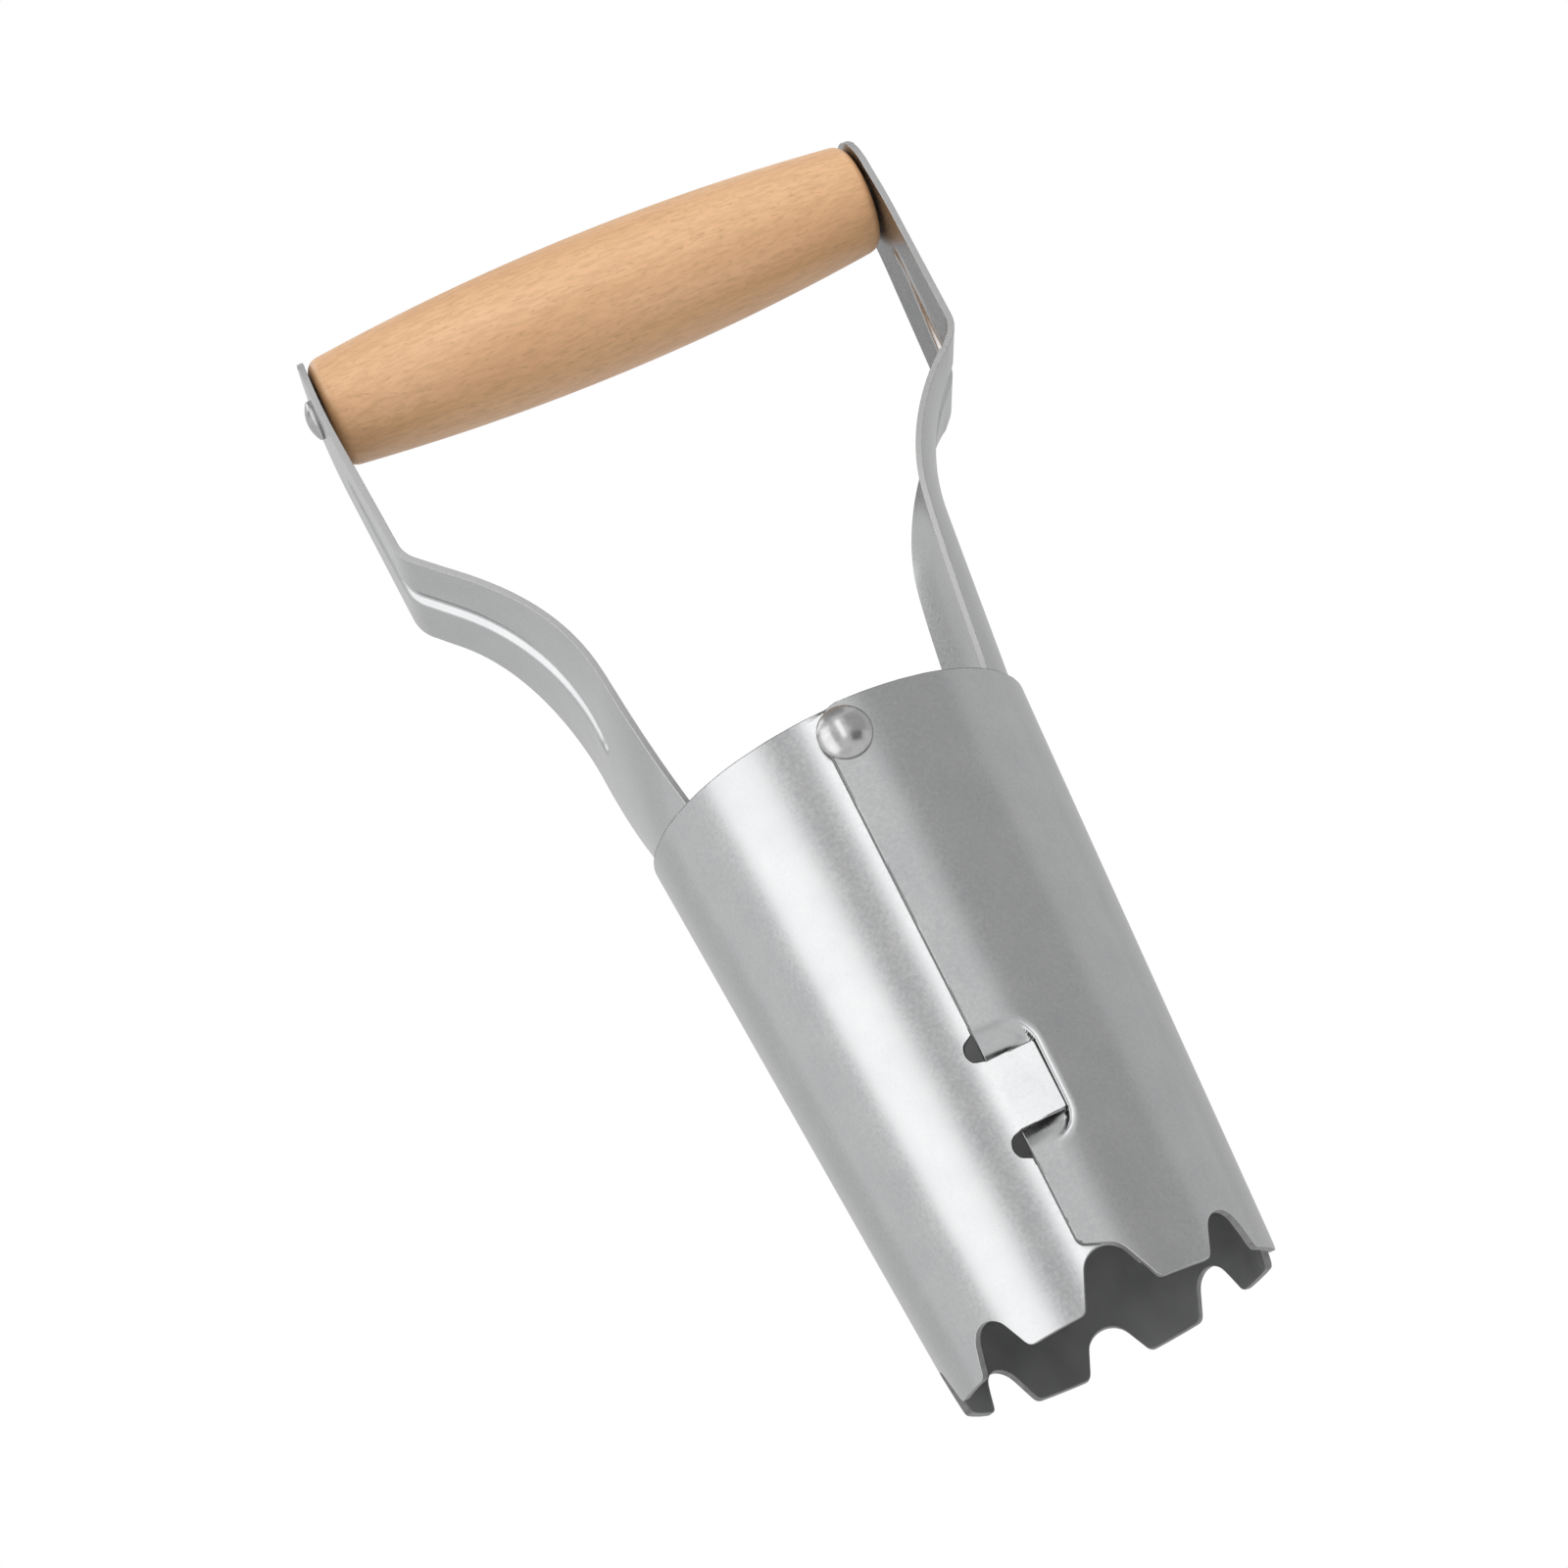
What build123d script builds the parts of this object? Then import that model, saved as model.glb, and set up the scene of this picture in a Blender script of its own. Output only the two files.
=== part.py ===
"""Hand bulb planter: a toothed, lapped steel sleeve, two strap arms and a turned wooden grip."""

import os
from math import atan2, cos, degrees, radians, sin, sqrt, tan

from build123d import *

# Millimetres and degrees. The planter stands on its tooth tips at Z = 0, with the sleeve's axis on Z
# and the grip along X. Angles round the sleeve are counted from the front, which faces -Y, towards +X.

# Sleeve: one blank rolled into a tapered tube, its right edge lapped over its left edge
sheet = 1.2
sleeve_length = 105.0
rim_radius = 35.0
mouth_radius = 28.2
seam_angle = -7.8
lap_angle = 15.6
lap_clearance = 0.1

# Teeth: round-crowned gaps cut out of the mouth
tooth_count = 8
tooth_phase = -4.5
tooth_depth = 6.9
crown_radius = 4.1
flank_angle = 25.0
tip_radius = 1.4
front_gap_depth = 8.3
front_gap_turn = 1.6
lap_foot_slope = 20.5
lap_foot_radius = 1.7

# Tongue lock: a tongue of the left edge lies in a pocket pressed into the right edge
lock_height = 35.7
tongue_angle = -6.5
tongue_length = 7.6
tongue_height = 12.2
tongue_corner = 0.8
tongue_clearance = 0.1
relief_radius = 2.25
pocket_height = 22.8
pocket_corner = 6.0
pocket_end_slope = 0.3
pocket_side_slope = 1.3
pocket_end_clearance = 0.2
window_clearance = 0.15

# Seam rivet
rivet_angle = -1.75
rivet_drop = 5.4
rivet_shank_radius = 2.4
rivet_head_radius = 4.6
rivet_head_height = 2.6
rivet_head_edge = 0.4
rivet_tail_radius = 3.6
rivet_tail_height = 1.5
rivet_tail_edge = 0.6
rivet_clearance = 0.05

# Arms: sheet straps that rise from inside the rim, bend out, then lean up past the grip. Each was bent a
# little differently: the left one flattens just over the rim and turns its back edge out, the right one
# keeps the wall's curve up to its lower bend, which sits higher.
arm_root_depth = 17.0
arm_seat_clearance = 0.35
left_flare = 0.5
right_flare = 7.2
left_toe = 4.8
right_toe = -1.4
left_neck = 45.6
right_neck = 50.8
left_bow_hold = 0.7
right_bow_hold = 2.4
left_bow_drop = 2.5
right_bow_drop = 0.75
arm_lean = 3.0
neck_radius = 47.0
neck_room_share = 0.95
shoulder_height = 65.4
shoulder_radius = 6.5
root_width = 39.5
root_hold = 0.5
waist_width = 30.5
shoulder_width = 30.0
arm_end_radius = 10.6
arm_end_drop = 1.4
limb_steps = 8
slight_bow = 0.0002
bead_start = 25.0
bead_end_drop = 19.0
bead_width = 4.2
bead_depth = 1.3

# Grip and the rod that it turns on
grip_height = 105.0
grip_length = 106.6
grip_belly_radius = 13.15
grip_end_radius = 10.5
grip_edge_radius = 2.6
grip_side_gap = 0.3
rod_radius = 2.5
rod_clearance = 0.05
grip_clearance = 0.08
rod_head_radius = 3.7
rod_head_height = 1.9
rod_head_edge = 0.7

# Worked out from the sizes above
lap_shift = (sheet + lap_clearance) / 4
wall_taper = atan2(rim_radius - mouth_radius, sleeve_length)
axis_height = sleeve_length + grip_height
pocket_depth = 2 * sheet + lap_clearance + tongue_clearance

os.makedirs("parts", exist_ok=True)


def radius_at(height):
    """Mean outer radius of the sleeve at a height above the tooth tips."""
    return mouth_radius + (rim_radius - mouth_radius) * height / sleeve_length


def turn_section(height, hand, inset, thickness, start, sweep):
    """Section of one half turn of the sheet: right hand +1 is the outer turn, left hand -1 the inner."""
    outer = radius_at(height) + hand * lap_shift - inset
    with BuildSketch(Plane.XY.offset(height)) as section:
        with BuildLine():
            outside = CenterArc((-lap_shift, -hand * lap_shift), outer, start - 90, sweep)
            inside = CenterArc((-lap_shift, -hand * lap_shift), outer - thickness, start - 90, sweep)
            Line(outside @ 0, inside @ 0)
            Line(outside @ 1, inside @ 1)
        make_face()
    return section.sketch


def turn_shell(hand, inset, thickness, start, sweep):
    """Tapered half turn of sheet, as high as the sleeve."""
    mouth = turn_section(0, hand, inset, thickness, start, sweep)
    rim = turn_section(sleeve_length, hand, inset, thickness, start, sweep)
    with BuildPart() as shell:
        loft(sections=[mouth, rim], ruled=True)
    return shell.part


def wall_plane(hand, angle, height):
    """Plane that touches a turn's outer face, facing outwards, with its own Y running up the wall."""
    outward = Vector(sin(radians(angle)), -cos(radians(angle)), 0)
    across = Vector(cos(radians(angle)), sin(radians(angle)), 0)
    centre = Vector(-lap_shift, -hand * lap_shift, height)
    touch = centre + outward * (radius_at(height) + hand * lap_shift)
    normal = outward * cos(wall_taper) - Vector(0, 0, 1) * sin(wall_taper)
    return Plane(origin=touch, x_dir=across, z_dir=normal)


# Gaps between the teeth: cutters that run from the axis out through the front of the wall
flank = radians(flank_angle)


def gap_cutter(depth):
    """Gap of a given depth: a round crown, straight flanks and rounded corners of the tooth tips."""
    crown_centre = depth - crown_radius
    crown_edge = (crown_radius * cos(flank), crown_centre + crown_radius * sin(flank))
    tip_centre = (crown_radius + tip_radius - (tip_radius - crown_centre) * sin(flank)) / cos(flank)
    tip_edge = (tip_centre - tip_radius * cos(flank), tip_radius - tip_radius * sin(flank))
    with BuildPart() as gap:
        with BuildSketch(Plane.XZ):
            with BuildLine():
                CenterArc((0, crown_centre), crown_radius, flank_angle, 90 - flank_angle)
                Line(crown_edge, tip_edge)
                TangentArc(tip_edge, (tip_centre, 0), tangent=(sin(flank), -cos(flank)))
                Line((tip_centre, 0), (tip_centre, -depth))
                Line((tip_centre, -depth), (0, -depth))
                mirror(about=Plane.YZ)
            make_face()
        extrude(amount=rim_radius + sheet)
    return gap.part


tooth_gap = gap_cutter(tooth_depth)
front_gap = gap_cutter(front_gap_depth)
gap_pitch = 360 / tooth_count
front_phase = tooth_phase + front_gap_turn

# Foot of the lap: the outer turn's rounded corner, with an edge that falls to the front gap as a tangent
seam = radians(seam_angle)
seam_plane = Plane(
    origin=(-lap_shift, -lap_shift, 0),
    x_dir=(cos(seam), sin(seam), 0),
    z_dir=(sin(seam), -cos(seam), 0),
)
foot_slope = radians(lap_foot_slope)
crown_reach = radius_at(front_gap_depth) * sin(radians(front_phase - seam_angle)) + lap_shift
foot_end = crown_reach + crown_radius * sin(foot_slope)
foot_low = front_gap_depth - crown_radius * (1 - cos(foot_slope))
foot_high = foot_low + foot_end * tan(foot_slope)
with BuildPart() as lap_foot:
    with BuildSketch(seam_plane) as foot_outline:
        with BuildLine():
            Polyline(
                (0, foot_high),
                (foot_end, foot_low),
                (crown_reach, -tooth_depth),
                (-tooth_depth, -tooth_depth),
                (-tooth_depth, foot_high + 2 * lap_foot_radius),
                (0, foot_high + 2 * lap_foot_radius),
                close=True,
            )
        make_face()
        fillet(foot_outline.vertices().sort_by_distance((0, foot_high))[0], lap_foot_radius)
    extrude(amount=rim_radius + sheet)

# Tongue: a flat plate that runs on straight from the inner turn, so that its end rises in the pocket
tongue_plane = wall_plane(-1, tongue_angle, lock_height)
with BuildPart() as tongue:
    with BuildSketch(tongue_plane) as tongue_outline:
        Rectangle(tongue_length, tongue_height, align=(Align.MIN, Align.CENTER))
        fillet(tongue_outline.vertices().group_by(Axis.X)[-1], tongue_corner)
    extrude(amount=-sheet)

# Pocket of the tongue lock, open towards the seam, its flat floor close under the tongue
lock_plane = wall_plane(1, seam_angle + lap_angle / 2, lock_height)
floor_plane = tongue_plane.offset(-sheet - tongue_clearance)
lap_half = (radius_at(lock_height) + lap_shift) * sin(radians(lap_angle / 2))
lap_sag = (radius_at(lock_height) + lap_shift) * (1 - cos(radians(lap_angle / 2)))
inner_radius = radius_at(lock_height) - lap_shift
tongue_rise = sqrt(inner_radius**2 + tongue_length**2) - inner_radius
tongue_under = lap_sag + pocket_depth - tongue_rise
pocket_right = lap_half + pocket_end_clearance + pocket_end_slope * tongue_under
pocket_end_wall = sheet * sqrt(1 + pocket_end_slope**2)
pocket_side_wall = sheet * sqrt(1 + pocket_side_slope**2)


def pocket_outline(depth, walls):
    """Outline of the pocket at a depth under the wall, spread outwards by a number of its sheet's walls."""
    end_inset = pocket_end_slope * depth - walls * pocket_end_wall
    side_inset = pocket_side_slope * depth - walls * pocket_side_wall
    with BuildSketch(lock_plane.offset(-depth)) as outline:
        with Locations((pocket_right - end_inset, 0)):
            Rectangle(
                4 * lap_half, pocket_height - 2 * side_inset, align=(Align.MAX, Align.CENTER)
            )
        fillet(outline.vertices().group_by(Axis.X)[-1], pocket_corner - end_inset)
    return outline.sketch


def pocket_wedge(walls):
    """Tapered block from just outside the wall to well below the pocket's floor."""
    top = pocket_outline(-sheet, walls)
    bottom = pocket_outline(pocket_depth + sheet, walls)
    with BuildPart() as wedge:
        loft(sections=[top, bottom], ruled=True)
    return wedge.part


pocket_block = pocket_wedge(1)
pocket_opening = pocket_wedge(0)
under_face = turn_shell(1, 0, pocket_depth + 2 * sheet, seam_angle, 3 * lap_angle)
with BuildPart() as pocket_void:
    with BuildSketch(floor_plane):
        Rectangle(8 * lap_half, 2 * pocket_height)
    extrude(amount=2 * pocket_depth)
    add(pocket_opening, mode=Mode.INTERSECT)
with BuildPart() as pocket_pan:
    with BuildSketch(floor_plane.offset(-sheet)):
        Rectangle(8 * lap_half, 2 * pocket_height)
    extrude(amount=2 * pocket_depth)
    add(under_face, mode=Mode.INTERSECT)
    add(pocket_block, mode=Mode.INTERSECT)
    add(pocket_void.part, mode=Mode.SUBTRACT)

# Window in the left edge round the pocket, with a round relief on each side of the tongue's root
window_inset = pocket_side_slope * (sheet + lap_clearance)
window_half = pocket_height / 2 + pocket_side_wall - window_inset + window_clearance
window_start = inner_radius * sin(radians(seam_angle - tongue_angle))
with BuildPart() as tongue_window:
    with BuildSketch(tongue_plane):
        with Locations((window_start, 0)):
            Rectangle(4 * lap_half, 2 * window_half, align=(Align.MIN, Align.CENTER))
            Rectangle(-window_start, tongue_height, align=(Align.MIN, Align.CENTER), mode=Mode.SUBTRACT)
        with Locations((window_start, 0)):
            with GridLocations(0, tongue_height + 2 * relief_radius, 1, 2):
                Circle(relief_radius)
    extrude(amount=pocket_depth, both=True)

# Seat of the seam rivet, square to the wall
rivet_height = sleeve_length - rivet_drop
rivet_plane = wall_plane(1, rivet_angle, rivet_height)
lap_thickness = 2 * sheet + lap_clearance
rivet_sag = rivet_head_radius**2 / radius_at(rivet_height)
with BuildPart() as rivet_hole:
    with BuildSketch(rivet_plane):
        Circle(rivet_shank_radius + rivet_clearance)
    extrude(amount=lap_thickness + 2 * sheet, both=True)

# Sleeve
right_turn = turn_shell(1, 0, sheet, seam_angle, 180 - seam_angle)
left_turn = turn_shell(-1, 0, sheet, 180, 180 + seam_angle + lap_angle)
with BuildPart() as outer_turn:
    add(right_turn)
    add(lap_foot.part, mode=Mode.SUBTRACT)
    add(pocket_block, mode=Mode.SUBTRACT)
    add(pocket_pan.part)
with BuildPart() as inner_turn:
    add(left_turn)
    add(tongue_window.part, mode=Mode.SUBTRACT)
    add(tongue.part)
with BuildPart() as sleeve:
    add(outer_turn.part)
    add(inner_turn.part)
    with PolarLocations(0, 1, start_angle=front_phase):
        add(front_gap, mode=Mode.SUBTRACT)
    with PolarLocations(0, tooth_count - 1, tooth_phase + gap_pitch, 360 - 2 * gap_pitch, endpoint=True):
        add(tooth_gap, mode=Mode.SUBTRACT)
    add(rivet_hole.part, mode=Mode.SUBTRACT)
sleeve.part.label = "sleeve"
export_step(sleeve.part, "parts/sleeve.step")

# Seam rivet: domed head outside, formed tail inside, both bedded on the curved wall
rivet_axis = Axis(rivet_plane.origin, rivet_plane.z_dir)
rivet_section = Plane(
    origin=rivet_plane.origin,
    x_dir=rivet_plane.x_dir,
    z_dir=rivet_plane.x_dir.cross(rivet_plane.z_dir),
)
outside_wall = turn_shell(1, -2 * rivet_head_height, 2 * rivet_head_height, rivet_angle - 90, 180)
inside_wall = turn_shell(-1, sheet, 2 * rivet_tail_height + sheet, rivet_angle - 90, 180)
with BuildPart() as rivet_head:
    with BuildSketch(rivet_section):
        with BuildLine():
            Polyline(
                (0, rivet_head_height),
                (0, -rivet_sag),
                (rivet_head_radius, -rivet_sag),
                (rivet_head_radius, rivet_head_edge),
            )
            TangentArc((0, rivet_head_height), (rivet_head_radius, rivet_head_edge), tangent=(1, 0))
        make_face()
    revolve(axis=rivet_axis)
    add(outside_wall, mode=Mode.INTERSECT)
with BuildPart() as rivet_tail:
    with BuildSketch(rivet_section):
        with BuildLine():
            Polyline(
                (0, -lap_thickness - rivet_tail_height),
                (0, -lap_thickness),
                (rivet_tail_radius, -lap_thickness),
                (rivet_tail_radius, -lap_thickness - rivet_tail_edge),
            )
            TangentArc(
                (0, -lap_thickness - rivet_tail_height),
                (rivet_tail_radius, -lap_thickness - rivet_tail_edge),
                tangent=(1, 0),
            )
        make_face()
    revolve(axis=rivet_axis)
    add(inside_wall, mode=Mode.INTERSECT)
with BuildPart() as seam_rivet:
    with BuildSketch(rivet_plane.offset(rivet_head_edge)):
        Circle(rivet_shank_radius)
    extrude(amount=-(rivet_head_edge + lap_thickness + rivet_tail_edge))
    add(rivet_head.part)
    add(rivet_tail.part)
seam_rivet.part.label = "seam_rivet"
export_step(seam_rivet.part, "parts/seam_rivet.step")

# Arms
lean = radians(arm_lean)
face_offset = sheet / 2 / cos(lean)
strap_at_axis = grip_length / 2 + grip_side_gap + grip_end_radius * tan(lean) + face_offset
shoulder_reach = strap_at_axis - (grip_height - shoulder_height) * tan(lean)
bead_radius = (bead_width**2 / 4 + bead_depth**2) / (2 * bead_depth)
bead_centre = sheet / 2 + bead_radius - bead_depth


def strap_reach(height):
    """Distance of the strap's middle from the axis where it lies inside the wall."""
    return radius_at(height) - sheet - arm_seat_clearance - sheet / 2


def strap_spine(flare, neck):
    """Middle line of a strap from the rim past the grip; the neck bends tighter where it has less room."""
    rim_reach = strap_reach(sleeve_length)
    neck_reach = rim_reach + neck * tan(radians(flare))
    end_height = grip_height + arm_end_radius
    run = shoulder_reach - neck_reach
    rise = shoulder_height - neck
    middle_lean = atan2(run, rise)
    shoulder_room = shoulder_radius * tan((middle_lean - lean) / 2)
    neck_room = min(neck / cos(radians(flare)), sqrt(run**2 + rise**2) - shoulder_room)
    widest_neck = neck_room_share * neck_room / tan((middle_lean - radians(flare)) / 2)
    with BuildLine(Plane.XZ) as spine:
        FilletPolyline(
            (rim_reach, sleeve_length),
            (neck_reach, sleeve_length + neck),
            (shoulder_reach, sleeve_length + shoulder_height),
            (shoulder_reach + (end_height - shoulder_height) * tan(lean), sleeve_length + end_height),
            radius=[min(neck_radius, widest_neck), shoulder_radius],
        )
    return spine.line


def bead_path(spine):
    """Stretch of a strap's middle line that carries the bead, through both bends."""
    with BuildLine() as path:
        add(spine)
        split(bisect_by=Plane.XY.offset(sleeve_length + bead_start), keep=Keep.TOP)
        split(bisect_by=Plane.XY.offset(axis_height - bead_end_drop), keep=Keep.BOTTOM)
    return Wire(path.edges().sort_by(Axis.Z))


def strap_plane(place, direction, toe=0):
    """Plane across a strap's run: its own X along Y, turned out by the toe, its own Y to the inner face."""
    across = Vector(0, 1, 0).rotate(Axis((0, 0, 0), direction), -toe)
    return Plane(origin=place, x_dir=across, z_dir=direction)


def strap_section(place, direction, width, bow, toe=0):
    """Section of a strap across its run, curved to the radius 1 / bow, or flat where the bow is slight."""
    with BuildSketch(strap_plane(place, direction, toe)) as section:
        if bow < slight_bow:
            Rectangle(width, sheet)
        else:
            half = degrees(width / 2 * bow)
            with BuildLine():
                outside = CenterArc((0, 1 / bow), 1 / bow + sheet / 2, -90 - half, 2 * half)
                inside = CenterArc((0, 1 / bow), 1 / bow - sheet / 2, -90 - half, 2 * half)
                Line(outside @ 0, inside @ 0)
                Line(outside @ 1, inside @ 1)
            make_face()
    return section.sketch


def root_limb(spine, toe, bow_hold, bow_drop):
    """Lower limb of an arm: curved like the wall inside the rim, flat by the end of the lower bend."""
    rise = Wire(spine.edges().sort_by(Axis.Z)[:2])
    foot_height = sleeve_length - arm_root_depth
    foot_reach = strap_reach(foot_height)
    rim_reach = strap_reach(sleeve_length)
    foot = strap_section((foot_reach, 0, foot_height), (0, 0, 1), root_width, 1 / foot_reach)
    sections = [strap_section(rise @ 0, (0, 0, 1), root_width, 1 / rim_reach)]
    for step in range(1, limb_steps + 1):
        share = step / limb_steps
        narrowing = max(share - root_hold, 0) / (1 - root_hold)
        width = root_width - (root_width - waist_width) * narrowing**2 * (3 - 2 * narrowing)
        bow = (1 - share**bow_hold) ** bow_drop / rim_reach
        turn = 4 * toe * (sqrt(share) - share)
        sections.append(strap_section(rise @ share, rise % share, width, bow, turn))
    with BuildPart() as limb:
        loft(sections=[foot, sections[0]], ruled=True)
        loft(sections=sections)
    return limb.part


def bead_end(plane, radius):
    """Rounded end of the bead's rib, on the inner side of the strap's middle."""
    with BuildPart() as end:
        with Locations(plane.from_local_coords((0, -bead_centre, 0))):
            Sphere(radius)
        split(bisect_by=Plane(origin=plane.origin, z_dir=plane.y_dir))
    return end.part


def make_arm(flare, toe, neck, bow_hold, bow_drop):
    """Arm on the +X side, with its own flare, toe, neck height and fading of the bow over the rim."""
    spine = strap_spine(flare, neck)
    upper = Wire(spine.edges().sort_by(Axis.Z)[2:])
    limb = root_limb(spine, toe, bow_hold, bow_drop)
    bead_spine = bead_path(spine)
    bead_planes = [strap_plane(bead_spine @ share, bead_spine % share) for share in (0, 1)]
    rib_ends = [bead_end(plane, bead_radius + sheet) for plane in bead_planes]
    with BuildPart() as arm:
        add(strap_section(upper @ 0, upper % 0, root_width, 0))
        sweep(path=upper)
        with BuildSketch(Plane.YZ):
            with BuildLine():
                Polyline(
                    (0, sleeve_length),
                    (waist_width / 2, sleeve_length),
                    (waist_width / 2, sleeve_length + shoulder_height - shoulder_radius),
                    (shoulder_width / 2, sleeve_length + shoulder_height),
                    (arm_end_radius, axis_height - arm_end_drop),
                )
                CenterArc((0, axis_height - arm_end_drop), arm_end_radius, 0, 90)
                mirror(about=Plane.YZ)
            make_face()
        extrude(amount=2 * strap_at_axis, mode=Mode.INTERSECT)
        add(limb)
        with BuildSketch(bead_planes[0]):
            with Locations((0, -bead_centre)):
                Circle(bead_radius + sheet)
            Rectangle(
                4 * bead_radius, 4 * bead_radius, align=(Align.CENTER, Align.MIN), mode=Mode.INTERSECT
            )
        sweep(path=bead_spine)
        add(rib_ends)
        with BuildSketch(bead_planes[0]):
            with Locations((0, -bead_centre)):
                Circle(bead_radius)
        sweep(path=bead_spine, mode=Mode.SUBTRACT)
        with Locations([plane.from_local_coords((0, -bead_centre, 0)) for plane in bead_planes]):
            Sphere(bead_radius, mode=Mode.SUBTRACT)
        with BuildSketch(Plane.YZ):
            with Locations((0, axis_height)):
                Circle(rod_radius + rod_clearance)
        extrude(amount=2 * strap_at_axis, mode=Mode.SUBTRACT)
    return arm.part


right_arm_shape = make_arm(right_flare, right_toe, right_neck, right_bow_hold, right_bow_drop)
left_arm_shape = make_arm(left_flare, left_toe, left_neck, left_bow_hold, left_bow_drop)
with BuildPart() as right_arm:
    add(right_arm_shape)
right_arm.part.label = "right_arm"
export_step(right_arm.part, "parts/right_arm.step")
with BuildPart() as left_arm:
    mirror(left_arm_shape, about=Plane.YZ)
left_arm.part.label = "left_arm"
export_step(left_arm.part, "parts/left_arm.step")

# Grip: turned barrel with a bore from end to end
grip_axis = Axis((0, 0, axis_height), (1, 0, 0))
with BuildPart() as grip:
    with BuildSketch(Plane.XZ) as barrel:
        with BuildLine():
            belly = ThreePointArc(
                (-grip_length / 2, axis_height + grip_end_radius),
                (0, axis_height + grip_belly_radius),
                (grip_length / 2, axis_height + grip_end_radius),
            )
            bore = Line(
                (-grip_length / 2, axis_height + rod_radius + grip_clearance),
                (grip_length / 2, axis_height + rod_radius + grip_clearance),
            )
            Line(belly @ 0, bore @ 0)
            Line(belly @ 1, bore @ 1)
        make_face()
        fillet(barrel.vertices().group_by(Axis.Y)[-1], grip_edge_radius)
    revolve(axis=grip_axis)
grip.part.label = "grip"
export_step(grip.part, "parts/grip.step")

# Rod through both arms and the grip, with a formed head bedded on each leaning arm
arm_face = strap_at_axis + face_offset
head_face = arm_face - rod_head_radius * tan(lean)
with BuildPart() as rod_head:
    with BuildSketch(Plane.XZ):
        with BuildLine():
            Polyline(
                (arm_face + rod_head_height, axis_height),
                (head_face, axis_height),
                (head_face, axis_height + rod_head_radius),
                (arm_face + rod_head_edge, axis_height + rod_head_radius),
            )
            TangentArc(
                (arm_face + rod_head_height, axis_height),
                (arm_face + rod_head_edge, axis_height + rod_head_radius),
                tangent=(0, 1),
            )
        make_face()
    revolve(axis=grip_axis)
    split(bisect_by=Plane(origin=(arm_face, 0, axis_height), z_dir=(cos(lean), 0, -sin(lean))))
with BuildPart() as grip_rod:
    with BuildSketch(Plane.YZ.offset(-arm_face - rod_head_edge)):
        with Locations((0, axis_height)):
            Circle(rod_radius)
    extrude(amount=2 * (arm_face + rod_head_edge))
    add(rod_head.part)
    mirror(rod_head.part, about=Plane.YZ)
grip_rod.part.label = "grip_rod"
export_step(grip_rod.part, "parts/grip_rod.step")
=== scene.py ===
"""Looks of a hand bulb planter: a toothed, lapped steel sleeve, two strap arms and a turned grip.

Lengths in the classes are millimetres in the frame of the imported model: the planter stands on its tooth
tips at Z = 0, the sleeve's axis is Z, the grip lies along X and the seam faces -Y.
"""

import logging
from dataclasses import dataclass
from enum import Enum

import bmesh
import bpy
import numpy as np
from mathutils import Matrix, Vector


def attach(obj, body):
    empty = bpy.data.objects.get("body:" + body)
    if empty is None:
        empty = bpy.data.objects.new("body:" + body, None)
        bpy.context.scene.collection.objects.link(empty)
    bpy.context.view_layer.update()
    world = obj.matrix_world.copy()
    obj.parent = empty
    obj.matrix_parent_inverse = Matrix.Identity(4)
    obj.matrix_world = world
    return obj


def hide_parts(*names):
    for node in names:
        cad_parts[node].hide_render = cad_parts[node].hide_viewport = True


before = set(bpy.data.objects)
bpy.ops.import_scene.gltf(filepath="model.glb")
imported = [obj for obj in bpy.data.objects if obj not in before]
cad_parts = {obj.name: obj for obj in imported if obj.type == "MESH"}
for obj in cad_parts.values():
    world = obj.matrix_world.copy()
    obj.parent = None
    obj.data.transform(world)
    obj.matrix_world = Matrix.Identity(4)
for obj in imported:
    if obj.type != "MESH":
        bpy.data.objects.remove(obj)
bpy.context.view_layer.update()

log = logging.getLogger("planter")
Array = np.ndarray
Socket = bpy.types.NodeSocket
Material = bpy.types.Material
Piece = bpy.types.Object
Span = tuple[float, float]
Ramp = tuple[Span, Span]
Triple = tuple[float, float, float]
Colour = tuple[float, float, float, float]
Inputs = dict[str | int, Socket | float | tuple[float, ...]]
# Metres in a millimetre, weld distance in millimetres, least angle of a softened edge in degrees
MM = 0.001
WELD = 0.002
SHARP = 55.0


class Body(Enum):
    """Moving bodies of the frame."""

    PLANTER = "planter"
    GRIP = "turning_grip"


class Slot(Enum):
    """Material slots of the record."""

    SHEET = "galvanised_sheet"
    RIVET = "bright_rivet"
    BEECH = "beech"


class Hand(Enum):
    """Side of the planter, as the sign of X."""

    LEFT = -1
    RIGHT = 1


def grey(level: float) -> Colour:
    """Opaque grey, where 1 is white."""
    return (level, level, level, 1.0)


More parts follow.
